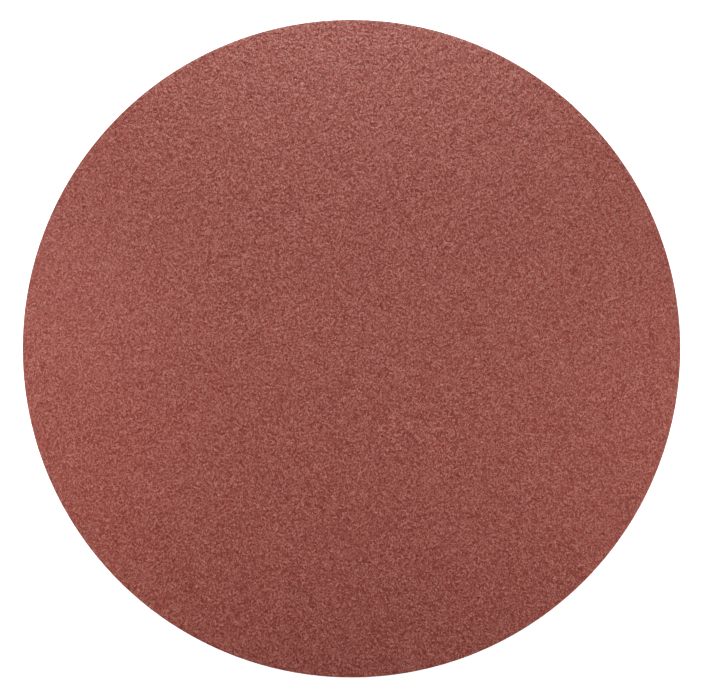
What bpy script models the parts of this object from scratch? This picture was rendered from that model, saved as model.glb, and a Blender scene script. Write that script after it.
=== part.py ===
"""A round sanding disc with a hook and loop back, lying on its loops with the grit face up.

The disc is die-cut from a laminated web, so it is three flat layers on one axis. From the table
up they are the loop fabric that grips a sander's hook pad, the backing paper, and the coat of
abrasive grains in resin. Laminating adhesive bonds the fabric to the paper and a film of resin
bonds the coat to it. Each of these films is the thin gap between two solids.

Metres, +Z up, origin at the centre of the loop face, where the disc rests.
"""

import math

import bmesh
import bpy

# Outline of the die cut
DISC_DIAMETER = 0.150
RIM_SEGMENTS = 180

# Layers and the films that bond them, from the table up
LOOP_FABRIC_HEIGHT = 0.0009
ADHESIVE_FILM = 0.00005
PAPER_THICKNESS = 0.00032
RESIN_FILM = 0.00005
COAT_THICKNESS = 0.0003

# Cut edges: the die crumbles the outermost grains, and the outermost loops lie over
COAT_SETBACK = 0.0001
COAT_EDGE_ROUND = 0.00012
LOOP_EDGE_ROUND = 0.0004
EDGE_ROUND_STEPS = 3
CIRCULAR_PROFILE = 0.5

# Where two faces meet more sharply than this, the shading keeps a crisp edge
SHARP_ANGLE = math.radians(40)


def matt_finish(name, colour, roughness):
    """A dull, non-metallic material of one linear colour."""
    material = bpy.data.materials.new(name)
    material.use_nodes = True
    shader = material.node_tree.nodes["Principled BSDF"]
    shader.inputs["Base Color"].default_value = (*colour, 1)
    shader.inputs["Roughness"].default_value = roughness
    shader.inputs["Metallic"].default_value = 0
    return material


def round_plate(radius, thickness):
    """A flat round plate with its underside at z = 0. Its flat faces are fans of triangles."""
    plate = bmesh.new()
    bmesh.ops.create_cone(
        plate,
        cap_ends=True,
        cap_tris=True,
        segments=RIM_SEGMENTS,
        radius1=radius,
        radius2=radius,
        depth=thickness,
    )
    bmesh.ops.translate(plate, verts=plate.verts, vec=(0, 0, thickness / 2))
    return plate


def round_over(plate, height, offset):
    """Rounds the plate's rim at this height, by half the plate's thickness at most."""
    top = max(vert.co.z for vert in plate.verts)
    nearest = top / 2
    rim = [
        edge
        for edge in plate.edges
        if all(abs(vert.co.z - height) < nearest and vert.co.xy.length > 0 for vert in edge.verts)
    ]
    bmesh.ops.bevel(
        plate,
        geom=rim,
        offset=min(offset, nearest),
        segments=EDGE_ROUND_STEPS,
        profile=CIRCULAR_PROFILE,
        affect="EDGES",
    )


def solid_layer(name, plate, bottom, material):
    """Turns a finished plate into a named object that lies at its height in the stack."""
    mesh = bpy.data.meshes.new(name)
    plate.to_mesh(mesh)
    plate.free()
    mesh.shade_smooth()
    mesh.set_sharp_from_angle(angle=SHARP_ANGLE)
    mesh.materials.append(material)
    layer = bpy.data.objects.new(name, mesh)
    layer.location.z = bottom
    bpy.context.scene.collection.objects.link(layer)
    return layer


def loop_fabric():
    """Brushed nylon loops on a knitted ground. The flat underside is what the disc rests on."""
    plate = round_plate(DISC_DIAMETER / 2, LOOP_FABRIC_HEIGHT)
    round_over(plate, 0, LOOP_EDGE_ROUND)
    off_white = matt_finish("loop_fabric", (0.76, 0.75, 0.72), 0.95)
    return solid_layer("loop_fabric", plate, 0, off_white)


def backing_paper():
    """The heavy paper that carries the grit. The die cuts it square, flush with the fabric."""
    plate = round_plate(DISC_DIAMETER / 2, PAPER_THICKNESS)
    tan = matt_finish("backing_paper", (0.42, 0.33, 0.25), 0.85)
    return solid_layer("backing_paper", plate, LOOP_FABRIC_HEIGHT + ADHESIVE_FILM, tan)


def abrasive_coat():
    """Closed coat of grains in red-brown resin, set back where the cut broke the last grains."""
    plate = round_plate(DISC_DIAMETER / 2 - COAT_SETBACK, COAT_THICKNESS)
    round_over(plate, COAT_THICKNESS, COAT_EDGE_ROUND)
    red_brown = matt_finish("abrasive_coat", (0.301, 0.091, 0.074), 0.6)
    bottom = LOOP_FABRIC_HEIGHT + ADHESIVE_FILM + PAPER_THICKNESS + RESIN_FILM
    return solid_layer("abrasive_coat", plate, bottom, red_brown)


def sanding_disc():
    """The laminate: every layer on one axis, carried by one empty at the origin."""
    disc = bpy.data.objects.new("sanding_disc", None)
    disc.empty_display_size = DISC_DIAMETER / 2
    bpy.context.scene.collection.objects.link(disc)
    for layer in (loop_fabric(), backing_paper(), abrasive_coat()):
        layer.parent = disc


def main():
    for old in list(bpy.data.objects):
        bpy.data.objects.remove(old)
    sanding_disc()


main()
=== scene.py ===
# A hook and loop sanding disc, 150 mm across, lying on its loops with the grit face up.
# The frame holds three plain layers on one axis. Each layer gets its real surface here, from
# the back to the face: knitted ground with its loops and fringe, paper, grit in resin. Metres.
import math

import bpy
import numpy as np
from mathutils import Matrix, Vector
from mathutils.geometry import delaunay_2d_cdt


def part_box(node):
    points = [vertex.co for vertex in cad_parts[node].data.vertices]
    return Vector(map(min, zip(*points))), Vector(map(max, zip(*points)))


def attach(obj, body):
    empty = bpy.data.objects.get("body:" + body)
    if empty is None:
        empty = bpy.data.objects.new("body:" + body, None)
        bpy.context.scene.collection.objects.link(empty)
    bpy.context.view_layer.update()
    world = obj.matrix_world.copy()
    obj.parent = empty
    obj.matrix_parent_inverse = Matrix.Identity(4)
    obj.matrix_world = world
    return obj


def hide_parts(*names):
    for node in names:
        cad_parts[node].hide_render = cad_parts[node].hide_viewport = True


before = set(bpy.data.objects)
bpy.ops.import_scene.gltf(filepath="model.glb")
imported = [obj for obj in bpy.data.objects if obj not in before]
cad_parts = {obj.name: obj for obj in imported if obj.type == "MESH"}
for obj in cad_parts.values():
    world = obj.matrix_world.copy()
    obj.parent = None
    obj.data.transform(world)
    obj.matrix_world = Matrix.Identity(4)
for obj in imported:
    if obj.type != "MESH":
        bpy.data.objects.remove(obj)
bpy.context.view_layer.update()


# Knitted ground
# The loop fabric is a warp-knitted nylon sheet, off-white, glued to the back of the paper with
# laminating adhesive. Its wales run along the web. Brushing has felted the feet of the loops
# that grow out of its underside, so the ground is nearly half as thick as the fabric.
FABRIC_BOTTOM, FABRIC_TOP = (corner[2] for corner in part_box("loop_fabric"))
CUT_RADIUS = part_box("loop_fabric")[1][0]
GROUND_THICKNESS = 0.0004
WALE_PITCH = 0.0014
COURSE_PITCH = 0.00125
WALE_RELIEF = 0.00006
FELTED_EDGE = 0.00005
FELTED_EDGE_LEVELS = (0.75, 0.5, 0.25)
FELT_FIBRES_TO_A_METRE = 9000
# A level of the pattern and the colour there, from the darkest to the palest. The dark end is
# painted shade in the dips between wales and stitches, mixed with the fibre's own tone.
FELT_TONES_AND_PAINTED_SHADE = [(0.3, (0.50, 0.48, 0.45, 1)), (1.0, (0.80, 0.79, 0.76, 1))]
# A wave pattern of this scale has one band to a metre
WAVE_SCALE = math.pi / 10
GROUND_POINT_SPACING = 0.0011
GROUND_POINT_PUSH = 0.3
GOLDEN_ANGLE = math.pi * (3 - math.sqrt(5))
# Points that are nearer than this share of their spacing count as one
MERGE_SHARE = 0.0001
MAP_REACH = 1.03 * CUT_RADIUS
MAP_STEP = 0.005
MAP_MIDDLE = Vector((0.5, 0.5))
MAP_CORNER = Vector((0.95, 0.95))
MAP_CORNER_SHARE = 0.06


def strewn_spots(radius, count, push, random):
    """Spots strewn evenly over a disc, then each pushed aside by a share of their spacing."""
    index = np.arange(count)
    reach = radius * np.sqrt((index + 0.5) / count)
    turn = index * GOLDEN_ANGLE
    spots = np.column_stack([reach * np.cos(turn), reach * np.sin(turn)])
    spots += random.uniform(-push, push, spots.shape) * radius * math.sqrt(math.pi / count)
    return spots * np.minimum(1, radius / np.linalg.norm(spots, axis=1))[:, None]


def strewn_disc(radius, spacing, push, seed):
    """Spots strewn over a disc, then an even ring of points on its rim, and the triangles that
    join them. Returns the points, the triangles and how many points the ring has."""
    inner = radius - spacing / 2
    count = round(math.pi * (inner / spacing) ** 2)
    middle = strewn_spots(inner, count, push, np.random.default_rng(seed))
    rim_count = round(2 * math.pi * radius / spacing)
    turn = np.linspace(0, 2 * math.pi, rim_count, endpoint=False)
    rim = radius * np.column_stack([np.cos(turn), np.sin(turn)])
    points = np.concatenate([middle, rim])
    joined = delaunay_2d_cdt([Vector(point) for point in points], [], [], 0, MERGE_SHARE * spacing)
    return points, np.array(joined[2]), rim_count


def lay_out(mesh, spots):
    """Gives the mesh a flat map for baking its pattern, with a spot in metres for each vertex."""
    vertex = np.empty(len(mesh.loops), np.int32)
    mesh.loops.foreach_get("vertex_index", vertex)
    flat = np.array(MAP_MIDDLE) + spots[vertex] / (2 * MAP_REACH)
    layer = mesh.uv_layers.new(name="OFBake")
    layer.uv.foreach_set("vector", flat.astype(np.float32).ravel())
    return layer.uv


def closed_plate(name, points, triangles, rim_count, heights, wall, back):
    """A closed round plate. Its face has the strewn points at their heights, its wall is the rim
    drawn in by each row's shrink at that row's height, and its back is flat. On its map the
    wall lies round the face, and the back lies in a corner."""
    rim = points[-rim_count:]
    vertices = [np.column_stack([points, heights])]
    spots = [points]
    first = len(points) - rim_count
    faces = triangles.tolist()
    upper = first + np.arange(rim_count)
    for shrink, height in (*wall, (wall[-1][0], back)):
        lower = upper.max() + 1 + np.arange(rim_count)
        edge = rim * (1 - np.broadcast_to(shrink, rim_count) / CUT_RADIUS)[:, None]
        vertices.append(np.column_stack([edge, np.full(rim_count, height)]))
        spots.append(rim * (1 + MAP_STEP * len(spots)))
        faces += np.stack([lower, np.roll(lower, -1), np.roll(upper, -1), upper], axis=1).tolist()
        upper = lower
    faces.append(upper[::-1].tolist())
    mesh = bpy.data.meshes.new(name)
    mesh.from_pydata(np.concatenate(vertices).tolist(), [], faces)
    laid = lay_out(mesh, np.concatenate(spots))
    for corner in mesh.polygons[-1].loop_indices:
        laid[corner].vector = MAP_CORNER + MAP_CORNER_SHARE * (laid[corner].vector - MAP_MIDDLE)
    plate = bpy.data.objects.new(name, mesh)
    bpy.context.scene.collection.objects.link(plate)
    return plate


def node(owner, kind, inputs=(), **settings):
    """Adds a node to a material or a world. An input is a number, a colour or another node's
    output."""
    made = owner.node_tree.nodes.new(kind)
    for setting, value in settings.items():
        setattr(made, setting, value)
    for socket, value in dict(inputs).items():
        if isinstance(value, bpy.types.NodeSocket):
            owner.node_tree.links.new(value, made.inputs[socket])
        else:
            made.inputs[socket].default_value = value
    return made


def cloudy(material, place, to_a_metre, detail):
    """A fine, cloudy pattern with this many clouds to a metre."""
    clouds = {"Vector": place, "Scale": to_a_metre, "Detail": detail}
    return node(material, "ShaderNodeTexNoise", clouds).outputs["Fac"]


def tones(material, pattern, stops):
    """Turns a pattern into colours. Each stop is a level of the pattern and the colour there."""
    ramp = node(material, "ShaderNodeValToRGB", {"Fac": pattern})
    elements = ramp.color_ramp.elements
    for element, (level, colour) in zip(elements, (stops[0], stops[-1])):
        element.position = level
        element.color = colour
    for level, colour in stops[1:-1]:
        elements.new(level).color = colour
    return ramp.outputs["Color"]


def finish_of(name, **sockets):
    """A material with its surface shader, and the numbers that are the same all over it."""
    material = bpy.data.materials.new(name)
    material.use_nodes = True
    surface = material.node_tree.nodes["Principled BSDF"]
    for socket, value in sockets.items():
        surface.inputs[socket.replace("_", " ")].default_value = value
    return material, surface


def shade_with(owner, shader, **sockets):
    """Links a pattern to each named socket of a shader."""
    for socket, pattern in sockets.items():
        owner.node_tree.links.new(pattern, shader.inputs[socket.replace("_", " ")])


def knitted_nylon():
    """Off-white knit: raised wales, a stitch at each course, and fine fibre over both, with
    painted shade darkening the dips between them.
    """
    nylon, surface = finish_of(
        "knitted_nylon", Roughness=0.8, Sheen_Weight=0.25, Sheen_Roughness=0.5
    )
    place = node(nylon, "ShaderNodeTexCoord").outputs["Object"]
    wales = node(
        nylon,
        "ShaderNodeTexWave",
        {"Vector": place, "Scale": WAVE_SCALE / WALE_PITCH, "Distortion": 1.2, "Detail": 1},
        bands_direction="X",
    ).outputs["Fac"]
    stitches = node(
        nylon,
        "ShaderNodeTexWave",
        {"Vector": place, "Scale": WAVE_SCALE / COURSE_PITCH, "Distortion": 2.5, "Detail": 2},
        bands_direction="Y",
    ).outputs["Fac"]
    fibre = cloudy(nylon, place, FELT_FIBRES_TO_A_METRE, detail=2)
    knit = node(nylon, "ShaderNodeMath", {0: wales, 1: stitches}, operation="MULTIPLY").outputs[0]
    relief = node(nylon, "ShaderNodeMath", {0: knit, 1: fibre}, operation="ADD").outputs[0]
    bump = node(
        nylon, "ShaderNodeBump", {"Height": relief, "Strength": 0.8, "Distance": WALE_RELIEF}
    ).outputs["Normal"]
    # The relief also sets the colour, so its dips carry painted shade.
    shade_with(nylon, surface, Base_Color=tones(nylon, relief, FELT_TONES_AND_PAINTED_SHADE), Normal=bump)
    return nylon


def knitted_ground():
    """The knitted sheet itself, a closed skin with its wales standing down from it."""
    spots, triangles, rim_count = strewn_disc(
        CUT_RADIUS, GROUND_POINT_SPACING, GROUND_POINT_PUSH, seed=11
    )
    wale = np.abs(np.sin(math.pi * spots[:, 0] / WALE_PITCH))
    course = np.abs(np.sin(math.pi * spots[:, 1] / COURSE_PITCH))
    heights = GROUND_THICKNESS - WALE_RELIEF + WALE_RELIEF * wale * course
    random = np.random.default_rng(12)
    wall = [
        (FELTED_EDGE * random.random(rim_count), GROUND_THICKNESS * level)
        for level in FELTED_EDGE_LEVELS
    ]
    ground = closed_plate("knitted_ground", spots, triangles, rim_count, heights, wall, back=0)
    # The plate was made face up. The real face hangs down from the glued side.
    for vertex in ground.data.vertices:
        x, y, height = vertex.co
        vertex.co = x, -y, FABRIC_TOP - height
    ground.data.materials.append(knitted_nylon())
    ground.data.shade_smooth()
    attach(ground, "root")
    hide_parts("loop_fabric")
    return ground


ground = knitted_ground()


# Pile loops
# Each stitch of the ground throws one soft nylon loop down, about half a millimetre clear of
# the felt, and brushing has laid them over one way. Every wale is a row of loops, and the hooks
# of a sander's pad catch in them.
LOOP_INSET = 0.0004
LOOP_WIDTHS = (0.0006, 0.0011)
LOOP_BULGE = 0.5
LOOP_FULLNESS = 0.8
LOOP_LEAN = 0.0003
LOOP_LEAN_SPREAD = 0.0002
LOOP_LEAN_CURVE = 1.5
CROWN_RISE = 0.0002
HEADING_SPREAD = 0.7
WALE_STRAY = 0.25
COURSE_STRAY = 0.35
YARN_RADIUS = 0.00007
YARN_THINNEST = 0.8
YARN_FIBRES_TO_A_METRE = 25000
TUFTS_TO_A_METRE = 700
YARN_TONES = [(0.3, (0.66, 0.64, 0.60, 1)), (0.7, (0.82, 0.81, 0.78, 1))]
LOOP_BANDS = 5
YARN_SIDES = 3
YARN_TWIST = 0.4


def from_above(places):
    """Spots on the map for places on a piece that is looked at from above."""
    return places[..., :2]


def yarn_tubes(name, middle, across, thickness, flatten=from_above):
    """Closed tubes of yarn along rows of middle points, one row, width and way across to each."""
    count, rings = middle.shape[:2]
    forward = np.gradient(middle, axis=1)
    forward /= np.linalg.norm(forward, axis=2, keepdims=True)
    side = across[:, None] - (across[:, None] * forward).sum(2, keepdims=True) * forward
    side /= np.linalg.norm(side, axis=2, keepdims=True)
    out = np.cross(forward, side)
    turn = np.linspace(0, 2 * math.pi, YARN_SIDES, endpoint=False) + YARN_TWIST
    skin = middle[:, :, None] + thickness[:, None, None, None] * (
        np.cos(turn)[:, None] * side[:, :, None] + np.sin(turn)[:, None] * out[:, :, None]
    )
    corner = np.arange(YARN_SIDES)
    after = np.roll(corner, -1)
    step = np.arange(rings - 1)[:, None] * YARN_SIDES
    wall = [step + corner, step + after, step + YARN_SIDES + after, step + YARN_SIDES + corner]
    start = np.arange(count)[:, None] * rings * YARN_SIDES
    quads = (start[:, None] + np.stack(wall, axis=2).reshape(-1, 4)).reshape(-1, 4)
    ends = np.concatenate([start + corner[::-1], start + (rings - 1) * YARN_SIDES + corner])
    mesh = bpy.data.meshes.new(name)
    mesh.from_pydata(skin.reshape(-1, 3).tolist(), [], quads.tolist() + ends.tolist())
    lay_out(mesh, flatten(skin).reshape(-1, 2))
    mesh.shade_smooth()
    tubes = bpy.data.objects.new(name, mesh)
    bpy.context.scene.collection.objects.link(tubes)
    return tubes


def arched_loops(name, feet, heading, width, drop, lean, thickness):
    """Yarn loops that hang from their feet. Every argument has one entry for each loop."""
    sweep = np.linspace(0, math.pi, LOOP_BANDS + 1)
    level = np.zeros(len(feet))
    along = np.column_stack([np.cos(heading), np.sin(heading), level])
    across = np.column_stack([-np.sin(heading), np.cos(heading), level])
    spread = -np.cos(sweep) * (1 + LOOP_BULGE * np.sin(sweep)) / 2
    depth = np.sin(sweep) ** LOOP_FULLNESS
    middle = (
        feet[:, None]
        + width[:, None, None] * spread[:, None] * along[:, None]
        - drop[:, None, None] * depth[:, None] * (0, 0, 1)
        + lean[:, None] * (depth**LOOP_LEAN_CURVE)[:, None]
    )
    return yarn_tubes(name, middle, across, thickness)


def brushed_nylon():
    """Soft off-white filament with a little sheen, a shade darker in some tufts than others."""
    nylon, surface = finish_of(
        "brushed_nylon", Roughness=0.65, Sheen_Weight=0.35, Sheen_Roughness=0.4
    )
    place = node(nylon, "ShaderNodeTexCoord").outputs["Object"]
    tuft = cloudy(nylon, place, TUFTS_TO_A_METRE, detail=2)
    fibre = cloudy(nylon, place, YARN_FIBRES_TO_A_METRE, detail=1)
    bump = node(
        nylon, "ShaderNodeBump", {"Height": fibre, "Strength": 0.5, "Distance": YARN_RADIUS}
    ).outputs["Normal"]
    shade_with(nylon, surface, Base_Color=tones(nylon, tuft, YARN_TONES), Normal=bump)
    return nylon


def pile_row_set(name, first_wale, material, seed):
    """The loops of every second wale, from one bar of the knitting machine. They stand in as
    many courses as there are wales."""
    random = np.random.default_rng(seed)
    reach = CUT_RADIUS - LOOP_INSET
    half = math.ceil(reach / WALE_PITCH)
    wales = np.arange(-half, half + 1)[first_wale::2] * WALE_PITCH
    courses = np.linspace(-reach, reach, 2 * half + 1)
    x, y = (grid.ravel() for grid in np.meshgrid(wales, courses))
    x = x + random.uniform(-WALE_STRAY, WALE_STRAY, len(x)) * WALE_PITCH
    y = y + random.uniform(-COURSE_STRAY, COURSE_STRAY, len(y)) * COURSE_PITCH
    inside = np.hypot(x, y) < reach
    x, y = x[inside], y[inside]
    count = len(x)
    feet_height = FABRIC_TOP - GROUND_THICKNESS + WALE_RELIEF
    feet = np.column_stack([x, y, np.full(count, feet_height)])
    crown_height = FABRIC_BOTTOM + YARN_RADIUS + random.uniform(0, CROWN_RISE, count)
    lean = np.column_stack(
        [
            random.normal(0, LOOP_LEAN_SPREAD, count),
            random.normal(LOOP_LEAN, LOOP_LEAN_SPREAD, count),
            np.zeros(count),
        ]
    )
    loops = arched_loops(
        name,
        feet,
        random.normal(0, HEADING_SPREAD, count),
        random.uniform(*LOOP_WIDTHS, count),
        feet_height - crown_height,
        lean,
        YARN_RADIUS * random.uniform(YARN_THINNEST, 1, count),
    )
    loops.data.materials.append(material)
    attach(loops, "root")
    return loops


nylon_yarn = brushed_nylon()
front_loops = pile_row_set("front_bar_loops", 0, nylon_yarn, seed=21)
back_loops = pile_row_set("back_bar_loops", 1, nylon_yarn, seed=22)


# Cut fringe
# The die cuts the outermost loops open, and the loose nylon filaments stand in a dense soft
# fringe all round, a little proud of the cut. They are the same yarn, split into filaments.
FRINGE_COUNT = 7500
FRINGE_DEPTH = 0.0009
FRINGE_CROWDING = 1.5
FRINGE_ROOTS = (0.3, 0.9)
FRINGE_TIP_RISE = 0.0004
FRINGE_SWAY = 0.00018
FRINGE_CURL = 0.00014
FRINGE_PUSH = 0.00012
FRINGE_PROUD = 0.00012
FRINGE_BANDS = 3
FILAMENT_RADIUS = 0.00003
FILAMENT_THINNEST = 0.7


def cut_fringe():
    """Single filaments that hang from the ground near the rim, each bowed its own way."""
    random = np.random.default_rng(25)
    turn = random.uniform(0, 2 * math.pi, FRINGE_COUNT)
    inset = FRINGE_DEPTH * random.random(FRINGE_COUNT) ** FRINGE_CROWDING + FILAMENT_RADIUS
    outward = np.column_stack([np.cos(turn), np.sin(turn), np.zeros(FRINGE_COUNT)])
    along = np.column_stack([-np.sin(turn), np.cos(turn), np.zeros(FRINGE_COUNT)])
    root = (CUT_RADIUS - inset)[:, None] * outward
    root[:, 2] = FABRIC_TOP - GROUND_THICKNESS * random.uniform(*FRINGE_ROOTS, FRINGE_COUNT)
    tip_rise = FRINGE_TIP_RISE * random.random(FRINGE_COUNT) ** 2
    tip_height = FABRIC_BOTTOM + FILAMENT_RADIUS + tip_rise
    share = np.linspace(0, 1, FRINGE_BANDS + 1)
    sway = random.normal(0, FRINGE_SWAY, FRINGE_COUNT)
    curl = random.normal(0, FRINGE_CURL, FRINGE_COUNT)
    push = np.minimum(random.normal(0, FRINGE_PUSH, FRINGE_COUNT), FRINGE_PROUD)
    middle = (
        root[:, None]
        + (tip_height - root[:, 2])[:, None, None] * share[:, None] * (0, 0, 1)
        + sway[:, None, None] * share[:, None] * along[:, None]
        + curl[:, None, None] * np.sin(share * math.pi)[:, None] * along[:, None]
        + push[:, None, None] * (share**2)[:, None] * outward[:, None]
    )
    thickness = FILAMENT_RADIUS * random.uniform(FILAMENT_THINNEST, 1, FRINGE_COUNT)

    def unrolled(places):
        """Spots on the map for filaments round the rim, as if it were cut and rolled flat."""
        beside = ((places - root[:, None, None]) * along[:, None, None]).sum(3) / CUT_RADIUS
        height = (places[..., 2] - FABRIC_BOTTOM) / (FABRIC_TOP - FABRIC_BOTTOM)
        round_rim = (turn[:, None, None] + beside) / (2 * math.pi)
        return CUT_RADIUS * (2 * np.stack([round_rim, height], axis=3) - 1)

    fringe = yarn_tubes("cut_fringe", middle, along, thickness, flatten=unrolled)
    fringe.data.materials.append(nylon_yarn)
    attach(fringe, "root")
    return fringe


fringe = cut_fringe()


# Backing paper
# A heavy latex-treated paper, tan in its thickness. The die shears it square, which leaves a
# slightly furry edge, and resin has soaked into its upper side under the grains.
PAPER_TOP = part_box("backing_paper")[1][2]
PAPER_EDGE_FUR = 0.00003
PAPER_EDGE_LEVELS = (0.8, 0.55, 0.3)
PAPER_FIBRES_TO_A_METRE = 6000
PAPER_TONES = [(0.3, (0.30, 0.21, 0.15, 1)), (0.7, (0.50, 0.40, 0.31, 1))]
RESIN_STAIN = (0.19, 0.06, 0.045, 1)
STAIN_DEPTH = 0.00018
FULL_STAIN_DEPTH = 0.00006
PAPER_POINT_SPACING = 0.0048
PAPER_POINT_PUSH = 0.3
# The sockets of a Mix node that take two colours and give the mixed one
MIX_FIRST = 6
MIX_SECOND = 7
MIX_RESULT = 2


def sheared_paper():
    """Tan fibres, stained red-brown where resin has soaked in from above."""
    paper, surface = finish_of("sheared_paper", Roughness=0.85)
    place = node(paper, "ShaderNodeTexCoord").outputs["Object"]
    fibres = cloudy(paper, place, PAPER_FIBRES_TO_A_METRE, detail=4)
    tan = tones(paper, fibres, PAPER_TONES)
    height = node(paper, "ShaderNodeSeparateXYZ", {0: place}).outputs["Z"]
    stain_from = PAPER_TOP - STAIN_DEPTH
    full_stain_from = PAPER_TOP - FULL_STAIN_DEPTH
    soaked = node(
        paper,
        "ShaderNodeMapRange",
        {"Value": height, "From Min": stain_from, "From Max": full_stain_from},
    ).outputs["Result"]
    colour = node(
        paper,
        "ShaderNodeMix",
        {"Factor": soaked, MIX_FIRST: tan, MIX_SECOND: RESIN_STAIN},
        data_type="RGBA",
    ).outputs[MIX_RESULT]
    bump = node(
        paper, "ShaderNodeBump", {"Height": fibres, "Strength": 0.6, "Distance": PAPER_EDGE_FUR}
    ).outputs["Normal"]
    shade_with(paper, surface, Base_Color=colour, Normal=bump)
    return paper


def paper_sheet():
    """The paper with its sheared edge. It fills the films of glue and resin on either side."""
    random = np.random.default_rng(31)
    spots, triangles, rim_count = strewn_disc(
        CUT_RADIUS - PAPER_EDGE_FUR, PAPER_POINT_SPACING, PAPER_POINT_PUSH, seed=32
    )
    thickness = PAPER_TOP - FABRIC_TOP
    heights = np.full(len(spots), thickness)
    wall = [
        (PAPER_EDGE_FUR * random.uniform(-1, 1, rim_count), thickness * level)
        for level in PAPER_EDGE_LEVELS
    ]
    sheet = closed_plate("paper_sheet", spots, triangles, rim_count, heights, wall, back=0)
    for vertex in sheet.data.vertices:
        vertex.co.z += FABRIC_TOP
    sheet.data.materials.append(sheared_paper())
    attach(sheet, "root")
    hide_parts("backing_paper")


paper_sheet()


# Grit coat
# Angular grains of fused aluminium oxide stand close together in a red-brown resin. A first
# resin coat holds their feet and a second, thinner one glazes them, so the facets glint.
COAT_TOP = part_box("abrasive_coat")[1][2]
COAT_SETBACK = 0.00002
COAT_RADIUS = CUT_RADIUS - COAT_SETBACK
BED_DEPTH = 0.00007
GRAIN_RELIEF = 0.00014
RIM_ROUND = 0.00025
RIM_DROP_SHARE = 0.4
CRUMBLE = 0.00006
CRUMBLED_EDGE_LEVELS = (0.35, 0.12)
FACET_PITCH = 0.00024
FACET_TILT = 0.85
FACET_MIDDLE = (0.5, 0.5, 0.5)
# The pale end is partly a painted highlight and the dark end partly painted shade, as the tone is
# read from each facet's lean towards the top lamps.
FACET_TONES_AND_PAINTED_LIGHT = [
    (0.0, (0.208, 0.021, 0.011, 1)),
    (0.5, (0.264, 0.057, 0.041, 1)),
    (1.0, (0.324, 0.121, 0.097, 1)),
]
# A level of the same pattern and the roughness there, as a grey
FACET_GREYS = [(0.35, (1, 1, 1, 1)), (0.88, (0.58, 0.58, 0.58, 1))]
COAT_POINT_SPACING = 0.00049
COAT_POINT_PUSH = 0.38


def glazed_grit():
    """Grains in resin. Each cell of the pattern is a facet with its own tilt, tone and gloss,
    and the thin glaze of resin over them all has an even, dull shine. The tone is partly painted
    light: paler on facets that lean towards the top lamps, darker on those that lean away."""
    # The glaze counts as a dense film with a small weight, so a low view doesn't turn it pale.
    grit, surface = finish_of(
        "glazed_grit",
        IOR=1.5,
        Specular_IOR_Level=0.2,
        Coat_Weight=0.18,
        Coat_Roughness=0.5,
        Coat_IOR=3.5,
    )
    place = node(grit, "ShaderNodeTexCoord").outputs["Object"]
    facets = node(
        grit, "ShaderNodeTexVoronoi", {"Vector": place, "Scale": 1 / FACET_PITCH}
    ).outputs["Color"]
    centred = node(
        grit, "ShaderNodeVectorMath", {0: facets, 1: FACET_MIDDLE}, operation="SUBTRACT"
    ).outputs[0]
    tilt = node(
        grit, "ShaderNodeVectorMath", {0: centred, "Scale": FACET_TILT}, operation="SCALE"
    ).outputs[0]
    upright = node(grit, "ShaderNodeNewGeometry").outputs["Normal"]
    tilted = node(
        grit, "ShaderNodeVectorMath", {0: upright, 1: tilt}, operation="ADD"
    ).outputs[0]
    facet_normal = node(
        grit, "ShaderNodeVectorMath", {0: tilted}, operation="NORMALIZE"
    ).outputs[0]
    # Facets that lean along the green channel, towards the top lamps, get the paler tones and
    # those that lean away the darker ones, which is painted light and painted shade on top of each
    # grain's own tone. The same facets are the glossier ones.
    lean = node(grit, "ShaderNodeSeparateColor", {0: facets}).outputs["Green"]
    shade_with(
        grit,
        surface,
        Base_Color=tones(grit, lean, FACET_TONES_AND_PAINTED_LIGHT),
        Roughness=tones(grit, lean, FACET_GREYS),
        Normal=facet_normal,
    )
    return grit


def grit_coat():
    """The coat as one facetted relief, a point to a clump of grains, crumbled at the cut."""
    random = np.random.default_rng(41)
    spots, triangles, rim_count = strewn_disc(
        COAT_RADIUS, COAT_POINT_SPACING, COAT_POINT_PUSH, seed=42
    )
    thickness = COAT_TOP - PAPER_TOP
    from_rim = COAT_RADIUS - np.linalg.norm(spots, axis=1)
    rounding = RIM_ROUND * (1 - np.sqrt(1 - np.clip(1 - from_rim / RIM_ROUND, 0, 1) ** 2))
    grain_depths = GRAIN_RELIEF * random.random(len(spots))
    heights = thickness - BED_DEPTH - grain_depths - RIM_DROP_SHARE * rounding
    wall = [
        (random.uniform(0, CRUMBLE, rim_count), thickness * level)
        for level in CRUMBLED_EDGE_LEVELS
    ]
    coat = closed_plate("grit_coat", spots, triangles, rim_count, heights, wall, back=0)
    for vertex in coat.data.vertices:
        vertex.co.z += PAPER_TOP
    coat.data.materials.append(glazed_grit())
    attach(coat, "root")
    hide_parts("abrasive_coat")
    return coat


coat = grit_coat()


# Standing grains
# The larger grains stand above the rest, each a sharp splinter of its own. They were thrown
# upright into the wet resin by an electric field, and do the first cutting.
GRAIN_PUSH = 0.5
GRAIN_SHORTEST = 0.55
BLOCK_COUNT = 20000
BLOCK_SIZE = 0.00017
BLOCK_SINK = 0.00008
BLOCK_CORNERS = [(1, 0, 0), (-1, 0, 0), (0, 1, 0), (0, -1, 0), (0, 0, 1), (0, 0, -1)]
BLOCK_FACES = [
    (0, 2, 4), (2, 1, 4), (1, 3, 4), (3, 0, 4), (2, 0, 5), (1, 2, 5), (3, 1, 5), (0, 3, 5),
]
SHARD_COUNT = 46000
SHARD_SIZE = 0.00021
SHARD_SINK = 0.00012
SHARD_REACH = 0.6
SHARD_CORNERS = SHARD_REACH * np.array([(1, 1, 1), (1, -1, -1), (-1, 1, -1), (-1, -1, 1)])
SHARD_FACES = [(0, 1, 2), (0, 3, 1), (0, 2, 3), (1, 3, 2)]


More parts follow.
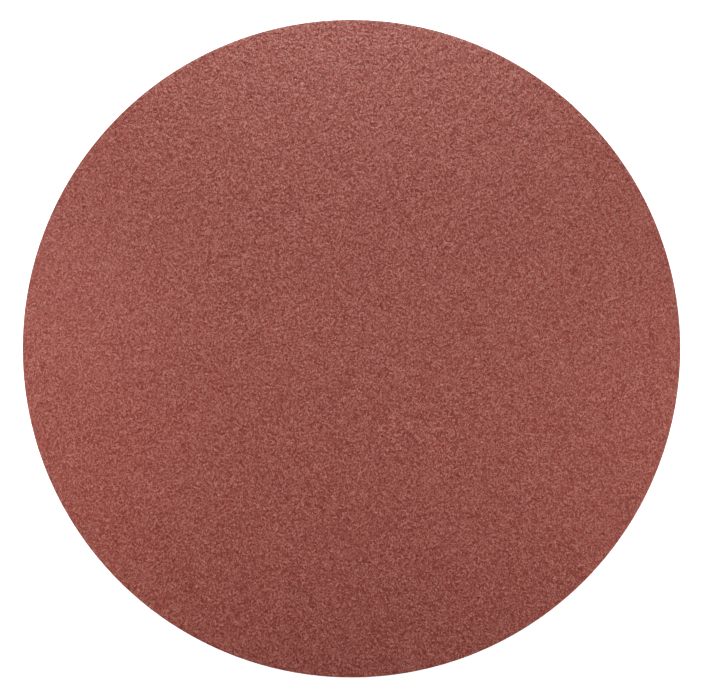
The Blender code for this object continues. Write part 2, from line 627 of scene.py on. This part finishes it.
def standing_grains(name, count, size, directions, sides, sink, seed):
    """Closed grains of one form, each stretched and turned its own way, sunk in the coat."""
    random = np.random.default_rng(seed)
    spots = strewn_spots(COAT_RADIUS - size, count, GRAIN_PUSH, random)
    lengths = size * random.uniform(GRAIN_SHORTEST, 1, (count, len(directions)))
    turned = np.linalg.qr(random.normal(size=(count, 3, 3)))[0]
    turned *= np.sign(np.linalg.det(turned))[:, None, None]
    corners = (lengths[:, :, None] * directions) @ turned
    top = COAT_TOP - sink * random.random(count)
    lift = top - corners[:, :, 2].max(axis=1)
    corners += np.column_stack([spots, lift])[:, None]
    first = len(directions) * np.arange(count)
    faces = first[:, None, None] + np.array(sides)
    mesh = bpy.data.meshes.new(name)
    mesh.from_pydata(corners.reshape(-1, 3).tolist(), [], faces.reshape(-1, 3).tolist())
    lay_out(mesh, from_above(corners.reshape(-1, 3)))
    mesh.materials.append(coat.data.materials[0])
    grains = bpy.data.objects.new(name, mesh)
    bpy.context.scene.collection.objects.link(grains)
    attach(grains, "root")


standing_grains(
    "block_grains", BLOCK_COUNT, BLOCK_SIZE, BLOCK_CORNERS, BLOCK_FACES, BLOCK_SINK, seed=51
)
standing_grains(
    "shard_grains", SHARD_COUNT, SHARD_SIZE, SHARD_CORNERS, SHARD_FACES, SHARD_SINK, seed=52
)


# Floor, light and camera
# The disc lies on a plain white table, and the camera looks straight down on it. Three soft
# lamps stand beyond its top edge, one at each side and one far in front, and two narrow ones
# add sheen, one down the middle and one at the left edge.
TABLE_HALF = 2
TABLE_COLOUR = (0.8, 0.8, 0.8, 1)
WHITE = (1, 1, 1, 1)
LIFT_NEAR_DISC = 0.7
SHADOW_REACH = 0.12
FULL_LIFT_REACH = 0.40
UNDER_RIM = 0.001
BESIDE_RIM = 0.0002
AMBIENT = 0.12
LENS = 85
SENSOR = 36
# Pixels of the picture
PICTURE_WIDTH = 703
DISC_WIDTH_IN_PICTURE = 658.4
DISC_RISE_IN_PICTURE = 1.41


def white_table():
    """White to the camera except where the disc's own shadow falls. Away from the lamps the
    table is lifted to white, near the disc only so far that the shadow still shows, and
    under the disc not at all."""
    white, surface = finish_of("white_table", Roughness=0.9, Specular_IOR_Level=0)
    surface.inputs["Base Color"].default_value = TABLE_COLOUR
    surface.inputs["Emission Color"].default_value = WHITE
    rays = node(white, "ShaderNodeLightPath").outputs
    seen = rays["Is Camera Ray"]
    for kind in ("Is Glossy Ray", "Is Transmission Ray"):
        either = {0: seen, 1: rays[kind]}
        seen = node(white, "ShaderNodeMath", either, operation="MAXIMUM").outputs[0]
    place = node(white, "ShaderNodeTexCoord").outputs["Object"]
    distance = node(white, "ShaderNodeVectorMath", {0: place}, operation="LENGTH").outputs["Value"]
    away = node(
        white,
        "ShaderNodeMapRange",
        {
            "Value": distance,
            "From Min": SHADOW_REACH,
            "From Max": FULL_LIFT_REACH,
            "To Min": LIFT_NEAR_DISC,
            "To Max": 1.0,
        },
    ).outputs["Result"]
    outside = node(
        white,
        "ShaderNodeMapRange",
        {
            "Value": distance,
            "From Min": CUT_RADIUS - UNDER_RIM,
            "From Max": CUT_RADIUS + BESIDE_RIM,
        },
    ).outputs["Result"]
    share = node(white, "ShaderNodeMath", {0: away, 1: outside}, operation="MULTIPLY").outputs[0]
    lift = node(white, "ShaderNodeMath", {0: seen, 1: share}, operation="MULTIPLY").outputs[0]
    shade_with(white, surface, Emission_Strength=lift)
    return white


table_mesh = bpy.data.meshes.new("table")
table_mesh.from_pydata(
    [(TABLE_HALF * x, TABLE_HALF * y, 0) for x, y in ((-1, -1), (1, -1), (1, 1), (-1, 1))],
    [],
    [(0, 1, 2, 3)],
)
table_mesh.materials.append(white_table())
table = bpy.data.objects.new("table", table_mesh)
bpy.context.scene.collection.objects.link(table)


def soft_lamp(name, place, size, power, aim=(0, 0, 0), shine=False):
    """A square white lamp that faces one spot, the middle of the disc if none is given. It
    only fills the shade, unless its shine on the resin is wanted too."""
    lamp = bpy.data.lights.new(name, "AREA")
    lamp.size = size
    lamp.energy = power
    holder = bpy.data.objects.new(name, lamp)
    holder.location = place
    holder.rotation_euler = (Vector(aim) - Vector(place)).to_track_quat("-Z", "Y").to_euler()
    holder.visible_glossy = shine
    bpy.context.scene.collection.objects.link(holder)
    return lamp


def narrow_lamp(name, place, width, depth, power, aim, spread):
    """A lamp masked down to a strip and a narrow beam. It puts sheen on one part of the disc."""
    lamp = soft_lamp(name, place, width, power, aim, shine=True)
    lamp.shape = "RECTANGLE"
    lamp.size_y = depth
    lamp.spread = math.radians(spread)


soft_lamp("top_lamp", (0, 0.20, 0.11), size=0.15, power=0.335, shine=True)
soft_lamp("top_left_lamp", (-0.22, 0.25, 0.20), size=0.20, power=0.69)
soft_lamp("top_right_lamp", (0.22, 0.25, 0.20), size=0.20, power=0.46)
soft_lamp("left_lamp", (-0.16, -0.055, 0.08), size=0.08, power=0.140)
soft_lamp("right_lamp", (0.16, -0.045, 0.08), size=0.08, power=0.123)
soft_lamp("front_lamp", (0, -1.0, 0.08), size=0.30, power=5.5)
narrow_lamp(
    "strip_lamp",
    (0, 0.15, 0.18),
    width=0.20,
    depth=0.02,
    power=0.007,
    aim=(0, -0.035, 0),
    spread=25,
)
narrow_lamp(
    "edge_lamp",
    (-0.12, 0.035, 0.19),
    width=0.03,
    depth=0.08,
    power=0.0011,
    aim=(-0.085, 0.02, 0),
    spread=20,
)

world = bpy.data.worlds.new("studio")
world.use_nodes = True
bpy.context.scene.world = world
air = world.node_tree.nodes["Background"]
air.inputs["Color"].default_value = WHITE
camera_ray = node(world, "ShaderNodeLightPath").outputs["Is Camera Ray"]
air_level = node(
    world, "ShaderNodeMapRange", {"Value": camera_ray, "To Min": AMBIENT, "To Max": 1.0}
).outputs["Result"]
shade_with(world, air, Strength=air_level)

metres_to_a_pixel = 2 * CUT_RADIUS / DISC_WIDTH_IN_PICTURE
camera_data = bpy.data.cameras.new("camera")
camera_data.lens = LENS
camera_data.sensor_width = SENSOR
camera = bpy.data.objects.new("camera", camera_data)
camera.location = (
    0,
    -DISC_RISE_IN_PICTURE * metres_to_a_pixel,
    COAT_TOP + metres_to_a_pixel * PICTURE_WIDTH * LENS / SENSOR,
)
bpy.context.scene.collection.objects.link(camera)
bpy.context.scene.camera = camera
bpy.context.scene.view_settings.view_transform = "Standard"
